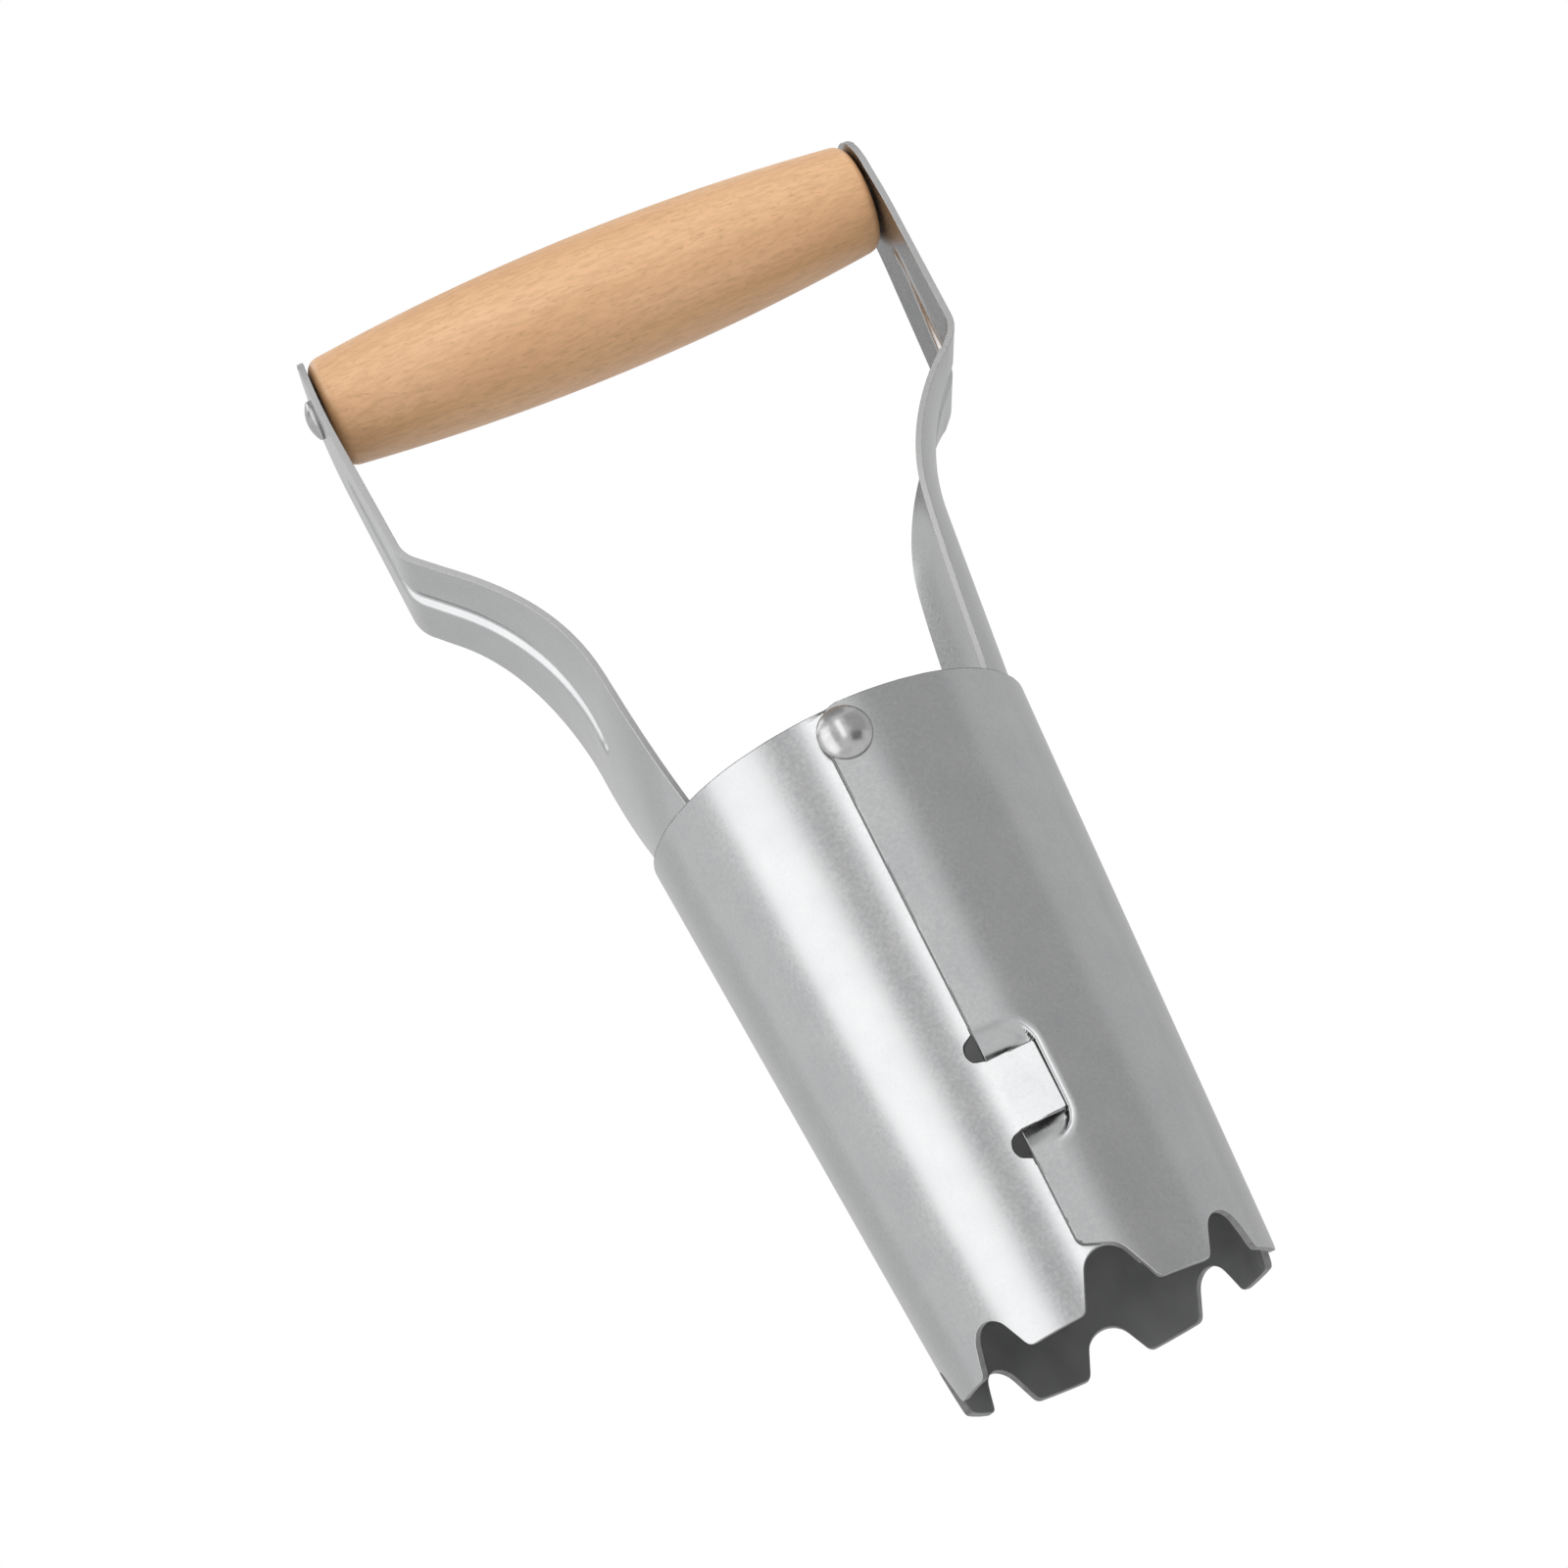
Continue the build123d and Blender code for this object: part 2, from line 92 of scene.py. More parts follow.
class Graph:
    """Node graph of a material or of the world, with short ways to add and join nodes."""

    def __init__(self, owner: Material | bpy.types.World) -> None:
        """Starts the graph of a new material or world."""
        owner.use_nodes = True
        self.owner, self.tree = owner, owner.node_tree

    def fill(self, node: bpy.types.Node, inputs: Inputs) -> None:
        """Links or sets inputs of a node.

        Args:
            node: the node.
            inputs: socket, number or colour by input.
        """
        for name, value in inputs.items():
            if isinstance(value, Socket):
                self.tree.links.new(value, node.inputs[name])
            else:
                node.inputs[name].default_value = value

    def set(self, name: str, inputs: Inputs) -> None:
        """Links or sets inputs of a node that the graph starts with."""
        self.fill(self.tree.nodes[name], inputs)

    def add(self, kind: str, inputs: Inputs, output: str | int = 0, **settings: str) -> Socket:
        """Adds a node.

        Args:
            kind: type of shader node.
            inputs: what its inputs are linked or set to.
            output: the output that is wanted.
            settings: its properties.

        Returns:
            That output.
        """
        node = self.tree.nodes.new("ShaderNode" + kind)
        for name, value in settings.items():
            setattr(node, name, value)
        self.fill(node, inputs)
        return node.outputs[output]

    def noise(self, scale: Triple, detail: float) -> Socket:
        """Cloud noise on Object coordinates, by features per metre along each axis and by octaves."""
        place = self.add("Mapping", {"Vector": self.add("TexCoord", {}, "Object"), "Scale": scale})
        return self.add("TexNoise", {"Vector": place, "Scale": 1.0, "Detail": detail}, "Fac")

    def spread(self, value: Socket, low: Span, high: Span) -> Socket:
        """Straight ramp of a value between two pairs of input and output, held at both ends."""
        ends = dict(zip(("From Min", "To Min", "From Max", "To Max"), (*low, *high)))
        return self.add("MapRange", {"Value": value, **ends})

    def blend(self, share: Socket, first: Colour | Socket, second: Colour) -> Socket:
        """Mix of two colours, by the share of the second one."""
        return self.add("Mix", {0: share, 6: first, 7: second}, 2, data_type="RGBA")

    def bump(self, height: Socket, depth: float, strength: float) -> Socket:
        """Normal of a relief, by its depth in metres and the share of it that shows."""
        return self.add("Bump", {"Height": height, "Distance": depth, "Strength": strength})


@dataclass(frozen=True)
class MetalFinish:
    """Metal whose tone and gloss follow a fine noise, over a broad mottle where it has one.

    Grain and mottle are features per metre and the relief is in metres.
    """

    name: str
    dark: Colour
    light: Colour
    roughness: Span
    grain: float
    detail: float
    ramp: Span = (0.3, 0.7)
    metallic: float = 1.0
    mottle: float = 0.0
    mottle_detail: float = 3.0
    mottle_share: float = 0.45
    relief: float = 0.0
    relief_strength: float = 0.1

    def make(self) -> Material:
        """Makes the material, dark to light and smooth to rough over the ramp of its noise.

        Returns:
            The metal.
        """
        graph = Graph(bpy.data.materials.new(self.name))
        fine = tone = graph.noise((self.grain,) * 3, self.detail)
        if self.mottle:
            broad = graph.noise((self.mottle,) * 3, self.mottle_detail)
            rest = graph.spread(broad, (0.0, 0.0), (1.0, self.mottle_share))
            parts = {0: fine, 1: 1.0 - self.mottle_share, 2: rest}
            tone = graph.add("Math", parts, operation="MULTIPLY_ADD")
        start, end = self.ramp
        smooth, rough = self.roughness
        share = graph.spread(tone, (start, 0.0), (end, 1.0))
        surface = {
            "Base Color": graph.blend(share, self.dark, self.light),
            "Roughness": graph.spread(fine, (start, smooth), (end, rough)),
            "Metallic": self.metallic,
        }
        if self.relief:
            surface["Normal"] = graph.bump(fine, self.relief, self.relief_strength)
        graph.set("Principled BSDF", surface)
        return graph.owner


# Satin zinc on the rolled sheet
ZINC = MetalFinish("galvanised_sheet", (0.415, 0.42, 0.425, 1.0), (0.48, 0.482, 0.485, 1.0), (0.21, 0.28),
                   grain=1500.0, detail=2.0, mottle=130.0)
# Dull zinc inside the sleeve
DULL_ZINC = MetalFinish("dull_inside", (0.34, 0.345, 0.35, 1.0), (0.4, 0.405, 0.41, 1.0), (0.5, 0.6),
                        grain=160.0, detail=4.0, metallic=0.5)
# Bare steel of the sheared edges; on the sleeve it is painted darker than on the arms, as painted shade for
# the dark that the sleeve's edges reflect from below
SHADED_MOUTH_CUT = MetalFinish("sheared_edge_painted_shade", grey(0.16), grey(0.26), (0.42, 0.58), grain=900.0, detail=4.0)
STRAP_CUT = MetalFinish("sheared_edge", grey(0.47), grey(0.53), (0.6, 0.7), grain=900.0, detail=4.0)
# Bright, tumbled steel of the rivet and the rod
BRIGHT_STEEL = MetalFinish("bright_rivet", grey(0.39), grey(0.46), (0.22, 0.27),
                           grain=700.0, detail=5.0, ramp=(0.35, 0.65), relief=0.00003)


@dataclass(frozen=True)
class BeechFinish:
    """Turned beech under a thin clear lacquer: broad grain, streaks and short dashes along X, darker ends.

    A ramp is the input and output at its low end, then at its high end.
    """

    name: str = "beech"
    pale: Colour = (0.84, 0.51, 0.275, 1.0)
    warm: Colour = (0.74, 0.415, 0.2, 1.0)
    fleck: Colour = (0.5, 0.27, 0.125, 1.0)
    grain: Triple = (20.0, 100.0, 100.0)
    streaks: Triple = (260.0, 1400.0, 1400.0)
    dashes: Triple = (650.0, 2600.0, 2600.0)
    grain_ramp: Ramp = ((0.3, 0.0), (0.7, 1.0))
    streak_ramp: Ramp = ((0.4, 0.0), (0.72, 0.4))
    dash_ramp: Ramp = ((0.58, 0.0), (0.74, 0.45))
    end_ramp: Ramp = ((0.45, 0.0), (0.95, 0.55))
    rough_ramp: Ramp = ((0.3, 0.36), (0.7, 0.5))
    lacquer: float = 0.12
    lacquer_roughness: float = 0.3
    pore_depth: float = 0.00006
    pore_strength: float = 0.25

    def make(self) -> Material:
        """Makes the material: the broad grain, then the fine marks on it, then the ends.

        Returns:
            The wood.
        """
        graph = Graph(bpy.data.materials.new(self.name))
        streaks, dashes = graph.noise(self.streaks, 5.0), graph.noise(self.dashes, 1.0)
        facing = graph.add("SeparateXYZ", {0: graph.add("TexCoord", {}, "Normal")}, "X")
        ends = graph.add("Math", {0: facing}, operation="ABSOLUTE")
        grain = graph.spread(graph.noise(self.grain, 6.0), *self.grain_ramp)
        colour = graph.blend(grain, self.pale, self.warm)
        for mark, ramp in ((streaks, self.streak_ramp), (dashes, self.dash_ramp), (ends, self.end_ramp)):
            colour = graph.blend(graph.spread(mark, *ramp), colour, self.fleck)
        surface = {
            "Base Color": colour,
            "Roughness": graph.spread(streaks, *self.rough_ramp),
            "Coat Weight": self.lacquer,
            "Coat Roughness": self.lacquer_roughness,
            "Normal": graph.bump(dashes, self.pore_depth, self.pore_strength),
        }
        graph.set("Principled BSDF", surface)
        return graph.owner


def linked(name: str, data: bpy.types.ID) -> Piece:
    """New object of the scene, at the origin.

    Args:
        name: name of the object.
        data: its mesh, lamp or camera.

    Returns:
        The object.
    """
    piece = bpy.data.objects.new(name, data)
    bpy.context.scene.collection.objects.link(piece)
    return piece


@dataclass
class Skin:
    """Points and quads of one surface, in millimetres."""

    points: Array
    quads: Array
    slots: Array | None = None

    @classmethod
    def slab(cls, face: Array, back: Array) -> "Skin":
        """Closed slab between two grids, whose rim takes the second material.

        Args:
            face: outer points by row, column and axis.
            back: inner points, one under each outer point.

        Returns:
            The surface, facing outwards all round.
        """
        skin = cls.from_grid(face)
        under = len(skin.points)
        index = np.arange(under).reshape(face.shape[:2])
        ring = np.hstack([index[0, :-1], index[:-1, -1], index[-1, :0:-1], index[:0:-1, 0]])
        after = np.roll(ring, -1)
        rim = np.stack([ring, ring + under, after + under, after], axis=-1)
        quads = np.vstack([skin.quads, skin.quads[:, ::-1] + under, rim])
        slots = np.hstack([np.zeros(2 * len(skin.quads), np.int32), np.ones(len(rim), np.int32)])
        return cls(np.vstack([skin.points, back.reshape(-1, 3)]), quads, slots)

    @classmethod
    def from_grid(cls, grid: Array, keep: Array | None = None, closed: bool = False) -> "Skin":
        """Quads between neighbours of a grid, facing the cross product of columns and rows.

        Args:
            grid: points by row, column and axis.
            keep: which quads are kept, by row and column.
            closed: whether the last column joins the first.

        Returns:
            The surface.
        """
        index = np.arange(grid.size // 3).reshape(grid.shape[:2])
        ring = np.hstack([index, index[:, :1]]) if closed else index
        quads = np.stack([ring[:-1, :-1], ring[:-1, 1:], ring[1:, 1:], ring[1:, :-1]], axis=-1)
        quads = quads.reshape(-1, 4) if keep is None else quads[keep]
        used, quads = np.unique(quads, return_inverse=True)
        return cls(grid.reshape(-1, 3)[used], quads.reshape(-1, 4))

    def joined(self, other: "Skin") -> "Skin":
        """This surface and another one as one."""
        quads = np.vstack([self.quads, other.quads + len(self.points)])
        return Skin(np.vstack([self.points, other.points]), quads)

    def to_object(self, name: str, solid: bool = False) -> Piece:
        """Makes the object, welded and smooth.

        Args:
            name: name of the piece.
            solid: whether it is closed, so that its normals can turn outwards.

        Returns:
            The object, at the origin.
        """
        mesh = bpy.data.meshes.new(name)
        mesh.from_pydata((self.points * MM).tolist(), [], self.quads.tolist())
        if self.slots is not None:
            mesh.polygons.foreach_set("material_index", self.slots)
        weld = bmesh.new()
        weld.from_mesh(mesh)
        bmesh.ops.remove_doubles(weld, verts=weld.verts, dist=WELD * MM)
        if solid:
            bmesh.ops.recalc_face_normals(weld, faces=weld.faces)
        weld.to_mesh(mesh)
        weld.free()
        mesh.shade_smooth()
        return linked(name, mesh)


def turn_profile(axial: Array, radial: Array, turns: int) -> Array:
    """Profile carried round an axis in a number of turns, as points (along, radius * cos, radius * sin)."""
    angle = np.linspace(0.0, 2.0 * np.pi, turns, endpoint=False)
    return np.stack(
        [axial[:, None] + 0.0 * angle, np.outer(radial, np.cos(angle)), np.outer(radial, np.sin(angle))],
        axis=-1,
    )


def dome(height: float, radius: float, edge: float, steps: int) -> tuple[Array, Array]:
    """Profile of a domed head: a spherical cap over a short rounded edge.

    Args:
        height: height of the crown over the seat.
        radius: radius at the edge.
        edge: height of the edge over the seat.
        steps: points over the cap.

    Returns:
        Heights and radii from the edge's foot up to the crown.
    """
    cap_share, side_share = 0.96, 0.75
    rise = height - edge
    ball = (radius**2 + rise**2) / (2.0 * rise)
    lean = np.arcsin(radius / ball) * np.linspace(cap_share, 0.0, steps)
    heights = np.hstack([[0.0, side_share * edge], height - ball * (1.0 - np.cos(lean))])
    radii = np.hstack([[radius, radius], ball * np.sin(lean)])
    return heights, radii


def dress(piece: Piece, node: str, slot: Slot, body: Body, *materials: Material) -> None:
    """Gives a finished piece its materials and its place in the frame.

    Args:
        piece: the new object.
        node: CAD node that it stands for.
        slot: material slot of the record; not used.
        body: body that carries it.
        materials: materials by slot of the mesh.
    """
    for material in materials:
        piece.data.materials.append(material)
    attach(piece, body.value)
    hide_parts(node)
    log.info("%s: %d points, rides on %s", piece.name, len(piece.data.vertices), body.value)


def soften(piece: Piece, edge: float) -> None:
    """Softens the sheared edges of a sheet.

    Args:
        piece: the sheet.
        edge: width in millimetres.
    """
    soft = piece.modifiers.new("soft_edge", "BEVEL")
    soft.width = edge * MM
    soft.segments = 2
    soft.limit_method = "ANGLE"
    soft.angle_limit = np.radians(SHARP)
    soft.use_clamp_overlap = False
    soft.harden_normals = True


@dataclass
class Sleeve:
    """Rolled, tapered sheet with a toothed mouth; its right edge laps over its left edge."""

    sheet: float = 1.2
    length: float = 105.0
    rim_radius: float = 35.0
    mouth_radius: float = 28.2
    lap_half_angle: float = 7.8
    lap_shift: float = 0.325
    tooth_count: int = 8
    tooth_phase: float = -4.5
    tooth_depth: float = 6.9
    crown_radius: float = 4.1
    flank_angle: float = 25.0
    tip_radius: float = 1.4
    front_depth: float = 8.3
    front_turn: float = 1.6
    foot_slope: float = 20.5
    foot_radius: float = 1.7
    lock_height: float = 35.7
    tongue_angle: float = -6.5
    tongue_length: float = 7.6
    tongue_half: float = 6.1
    tongue_corner: float = 0.8
    relief_radius: float = 2.25
    window_half: float = 11.83
    pocket_half: float = 11.4
    pocket_corner: float = 6.0
    pocket_right: float = 5.9
    pocket_gap: float = 0.1
    lip_width: float = 1.45
    lip_share: float = 0.2
    end_ramp: float = 0.28
    side_ramp: float = 5.4
    flat_angle: float = 0.3
    lap_corner: float = 5.0
    stretch_top: float = 16.0
    column_gap: float = 0.4
    strip_width: float = 3.4
    edge: float = 0.16

    def radius_at(self, height: Array) -> Array:
        """Mean outer radius at a height: a straight taper from the mouth to the rim."""
        return self.mouth_radius + (self.rim_radius - self.mouth_radius) * height / self.length

    def wall(self, hand: Hand, angle: Array, height: Array, depth: Array | float = 0.0) -> Array:
        """Outer face of one half turn.

        A point is centre + radius * (sin, -cos) of the angle; the right turn's circle is larger by the lap
        shift and the left turn's smaller, so that the turns part at the front and meet at the back.

        Args:
            hand: which turn.
            angle: degrees from the front towards +X.
            height: height over the tooth tips.
            depth: how far the face is pressed in.

        Returns:
            Points of the face.
        """
        side = hand.value * self.lap_shift
        radius = self.radius_at(height) + side - depth
        turn = np.radians(angle)
        x = -self.lap_shift + radius * np.sin(turn)
        y = -side - radius * np.cos(turn)
        return np.stack(np.broadcast_arrays(x, y, height), axis=-1)

    def gap_outline(self, across: Array, depth: Array) -> Array:
        """Height of a tooth gap's edge: a round crown, a tangent flank, a round corner, then the tip at 0.

        Args:
            across: distance from the gap's middle.
            depth: height of the crown.

        Returns:
            Height over the tooth tips.
        """
        flank = np.radians(self.flank_angle)
        sine, cosine = np.sin(flank), np.cos(flank)
        crown_r, tip_r = self.crown_radius, self.tip_radius
        away = np.abs(across)
        crown = depth - crown_r
        crown_x, crown_z = crown_r * cosine, crown + crown_r * sine
        tip = (crown_r + tip_r - (tip_r - crown) * sine) / cosine
        round_top = crown + np.sqrt(np.maximum(crown_r**2 - away**2, 0.0))
        straight = crown_z - (away - crown_x) / np.tan(flank)
        round_tip = tip_r - np.sqrt(np.maximum(tip_r**2 - (tip - away) ** 2, 0.0))
        reach = [away < crown_x, away < tip - tip_r * cosine, away < tip]
        return np.select(reach, [round_top, straight, round_tip], 0.0)

    def mouth_edge(self, hand: Hand, angle: Array) -> Array:
        """Height of the mouth's edge round the sleeve.

        The nearest gap's outline, where the front gap is deeper and a little further round. The right turn
        also has the foot of the lap: a rounded corner, then an edge that is a tangent of the crown.

        Args:
            hand: which turn.
            angle: degrees round that turn's own centre.

        Returns:
            Height over the tooth tips.
        """
        spot = self.wall(hand, angle, self.crown_radius)
        pitch = 360.0 / self.tooth_count
        bearing = np.degrees(np.arctan2(spot[..., 0], -spot[..., 1])) - self.tooth_phase
        nearest = np.round(bearing / pitch)
        front = nearest % self.tooth_count == 0
        offset = np.radians(bearing - nearest * pitch - self.front_turn * front)
        across = np.hypot(spot[..., 0], spot[..., 1]) * np.sin(offset)
        edge = self.gap_outline(across, np.where(front, self.front_depth, self.tooth_depth))
        if hand is Hand.LEFT:
            return edge
        seam, slope = np.radians([-self.lap_half_angle, self.foot_slope])
        from_seam = spot[..., :2] + self.lap_shift
        reach = from_seam @ np.array([np.cos(seam), np.sin(seam)])
        turn = np.radians(self.tooth_phase + self.front_turn) - seam
        crown = self.radius_at(self.front_depth) * np.sin(turn) + self.lap_shift
        end = crown + self.crown_radius * np.sin(slope)
        high = self.front_depth - self.crown_radius * (1.0 - np.cos(slope)) + end * np.tan(slope)
        foot_r = self.foot_radius
        centre = high + foot_r * (1.0 / np.cos(slope) - np.tan(slope))
        inset = np.clip(foot_r - reach, 0.0, foot_r)
        corner = centre - np.sqrt(foot_r**2 - inset**2)
        foot = np.where(inset > foot_r * np.sin(slope), corner, high - reach * np.tan(slope))
        near = (reach < end) & (from_seam @ np.array([np.sin(seam), -np.cos(seam)]) > 0.0)
        return np.maximum(edge, np.where(near, foot, 0.0))

    def pocket(self, angle: Array, height: Array) -> tuple[Array, Array]:
        """Pocket pressed into the right turn for the tongue, inside a round outline, open at the seam.

        Its floor is the plane that touches the left turn at the tongue's angle, lowered by the sheet and a
        gap; a point sinks to it along its own radius. Above and below the tongue the depth is reached as
        2t^2 - t^3 over a long ramp, and at the end as a soft t^2 lip and then a short steep ramp.

        Args:
            angle: degrees round the right turn.
            height: height over the tooth tips.

        Returns:
            Depth of the floor, and the share of it that is reached.
        """
        taper = np.arctan2(self.rim_radius - self.mouth_radius, self.length)
        turn = np.radians(self.tongue_angle)
        normal = np.array([np.sin(turn) * np.cos(taper), -np.cos(turn) * np.cos(taper), -np.sin(taper)])
        touch = self.wall(Hand.LEFT, self.tongue_angle, self.lock_height)
        over = (self.wall(Hand.RIGHT, angle, height) - touch) @ normal
        away = np.radians(np.clip(angle - self.tongue_angle, -60.0, 60.0))
        floor = (over + self.sheet + self.pocket_gap) / (np.cos(taper) * np.cos(away))
        lock_radius = self.radius_at(self.lock_height) + self.lap_shift
        across = lock_radius * np.sin(np.radians(np.clip(angle, -90.0, 60.0)))
        right = np.maximum(across - self.pocket_right + self.pocket_corner, 0.0)
        up = np.maximum(np.abs(height - self.lock_height) - self.pocket_half + self.pocket_corner, 0.0)
        outside = np.hypot(right, up)
        inside = self.pocket_corner - outside
        lip = np.clip(inside / self.lip_width, 0.0, 1.0)
        drop = np.clip((inside - self.lip_width) / self.end_ramp, 0.0, 1.0)
        end = self.lip_share * lip**2 + (1.0 - self.lip_share) * drop**2 * (3.0 - 2.0 * drop)
        ramp = np.clip(inside / self.side_ramp, 0.0, 1.0)
        side = ramp**2 * (2.0 - ramp)
        sideways = (up / np.maximum(outside, 1e-6)) ** 2
        return floor, end + (side - end) * sideways

    def rows(self, low: Array) -> Array:
        """Height of every grid point.

        The lowest rows share out the space over the mouth's edge; the rest are level, and close together
        at the lock's walls and at the rim.

        Args:
            low: height of the mouth's edge by column.

        Returns:
            Height by row and column.
        """
        tongue_corner = [5.5, 5.7, 5.85, 5.97, self.tongue_half]
        window = [*np.linspace(6.4, 11.6, 15), self.window_half, 12.3]
        away = np.hstack([np.linspace(0.0, 5.3, 6), tongue_corner, window])
        lock = np.hstack([self.lock_height - away[::-1], self.lock_height + away[1:]])
        lower = np.linspace(self.stretch_top, lock[0], 5)[:-1]
        upper = np.linspace(lock[-1], self.length - 1.5, 16)[1:]
        corner = self.length - self.lap_corner * (1.0 - np.sin(np.linspace(0.0, np.pi / 2.0, 12)))
        level = np.hstack([lower, lock, upper[upper < corner[0] - 0.5], corner])
        share = np.array([0.0, 0.03, 0.08, 0.16, 0.27, 0.4, 0.55, 0.7, 0.85])[:, None]
        stretch = low + (self.stretch_top - low) * share
        return np.vstack([stretch, np.repeat(level[:, None], len(low), axis=1)])

    def bearings(self, first: float, last: float) -> Array:
        """Column angles that crowd at every flank and tip corner.

        Args:
            first: angle that they start after.
            last: angle that they end before.

        Returns:
            Angles in degrees.
        """
        tip_corner = [5.7, 6.0, 6.35, 6.72, 7.05, 7.4, 9.2]
        half = np.hstack([np.linspace(0.0, 3.7, 9), np.linspace(4.05, 5.45, 5), tip_corner])
        across = np.hstack([-half[:0:-1], half])
        gap = np.degrees(np.arcsin(across / self.radius_at(self.crown_radius)))
        count = np.arange(2 * self.tooth_count)
        middle = self.tooth_phase + count * 360.0 / self.tooth_count
        middle += self.front_turn * (count % self.tooth_count == 0)
        angle = np.sort((middle[:, None] + gap).ravel())
        return angle[(angle > first + self.column_gap) & (angle < last - self.column_gap)]

    def right_turn(self) -> Skin:
        """Outer half turn: from the free edge of the lap round the right side to the back.

        The rolling leaves the free edge flat: before the flat angle the radius is r / cos of the angle to
        it. The edge's upper corner is round.

        Returns:
            Its outer face.
        """
        lap_radius = self.radius_at(self.lock_height) + self.lap_shift
        lap_half = lap_radius * np.sin(np.radians(self.lap_half_angle))
        free_edge = [0.0, 0.1, 0.28, 0.52, 0.82, 1.2, 1.6]
        pocket_end = [np.arange(8.0, 10.2, 0.15), np.arange(10.3, 14.0, 0.36)]
        near = np.hstack([free_edge, np.arange(2.0, 8.0, 0.36), *pocket_end])
        first = np.degrees(np.arcsin((near - lap_half) / lap_radius))
        angle = np.hstack([first, self.bearings(first[-1], 180.0), [180.0]])
        height = self.rows(self.mouth_edge(Hand.RIGHT, angle))
        corner = self.lap_corner
        rise = np.clip(height + corner - self.length, 0.0, corner)
        inset = np.degrees((corner - np.sqrt(corner**2 - rise**2)) / self.rim_radius)
        angle = angle + inset * np.clip((first[-1] - angle) / (first[-1] - first[0]), 0.0, 1.0)
        floor, share = self.pocket(angle, height)
        before = np.radians(np.clip(self.flat_angle - angle, 0.0, 30.0))
        lift = (self.radius_at(height) + self.lap_shift) * (1.0 / np.cos(before) - 1.0)
        return Skin.from_grid(self.wall(Hand.RIGHT, angle, height, floor * share - lift * (1.0 - share)))

    def left_turn(self) -> Skin:
        """Inner half turn: from the back round the left side to the free edge with its tongue.

        The tongue leaves the turn along the tangent at its angle, at the radius r / cos past it. Between
        the tongue and the flanges the last columns are drawn back to the relief's circle, and the quads
        past it are left out.

        Returns:
            Its outer face.
        """
        lap_radius = self.radius_at(self.lock_height) + self.lap_shift
        lap_half = lap_radius * np.sin(np.radians(self.lap_half_angle))
        strip = np.linspace(-lap_half - self.strip_width, -lap_half, 12)
        flange = np.linspace(-lap_half, lap_half, 22)[1:]
        base = self.bearings(180.0, 360.0 + np.degrees(np.arcsin(strip[0] / lap_radius)))
        across = np.hstack([strip, flange])
        columns = np.hstack([[180.0], base, 360.0 + np.degrees(np.arcsin(across / lap_radius))])
        height = self.rows(self.mouth_edge(Hand.LEFT, columns))
        split = len(columns) - len(across)
        relief, corner, tongue_half = self.relief_radius, self.tongue_corner, self.tongue_half
        away = np.abs(height[:, split:] - self.lock_height)
        place = np.broadcast_to(across, away.shape)
        outline = -lap_half - np.sqrt(np.maximum(relief**2 - (away - tongue_half - relief) ** 2, 0.0))
        drawn = strip[0] + (place - strip[0]) * (outline - strip[0]) / (-lap_half - strip[0])
        window = (away > tongue_half) & (away < self.window_half)
        place = np.where(window & (place <= -lap_half), drawn, place)
        inset = np.clip(away - tongue_half + corner, 0.0, corner)
        round_off = corner - np.sqrt(corner**2 - inset**2)
        angle = np.broadcast_to(columns, height.shape).copy()
        inner = self.radius_at(height[:, split:]) - self.lap_shift
        root = inner * np.tan(np.radians(-self.lap_half_angle - self.tongue_angle))
        plate = root + (self.tongue_length - round_off - root) * (place + lap_half) / (2.0 * lap_half)
        flat = 360.0 + self.tongue_angle + np.degrees(np.arctan(plate / inner))
        tongue = away <= tongue_half
        curved = 360.0 + np.degrees(np.arcsin(place / lap_radius))
        angle[:, split:] = np.where(tongue & (place > -lap_half), flat, curved)
        past = np.radians(np.maximum(angle[:, split:] - 360.0 - self.tongue_angle, 0.0))
        depth = np.zeros_like(height)
        depth[:, split:] = np.where(tongue, inner * (1.0 - 1.0 / np.cos(past)), 0.0)
        middle = np.abs((height[1:, -1] + height[:-1, -1]) / 2.0 - self.lock_height)
        cut = (middle > tongue_half) & (middle < self.window_half)
        past_strip = np.arange(len(columns) - 1) >= split + len(strip) - 1
        return Skin.from_grid(self.wall(Hand.LEFT, angle, height, depth), ~(cut[:, None] & past_strip))

    def build(self, *finishes: Material) -> None:
        """Builds and dresses the sleeve.

        Args:
            finishes: finish of the outer face, of the sheared edges and of the inner face.
        """
        piece = self.right_turn().joined(self.left_turn()).to_object("sleeve_sheet")
        wall = piece.modifiers.new("sheet", "SOLIDIFY")
        wall.thickness, wall.offset = self.sheet * MM, -1.0
        wall.material_offset_rim, wall.material_offset = 1, 2
        soften(piece, self.edge)
        dress(piece, "sleeve", Slot.SHEET, Body.PLANTER, *finishes)


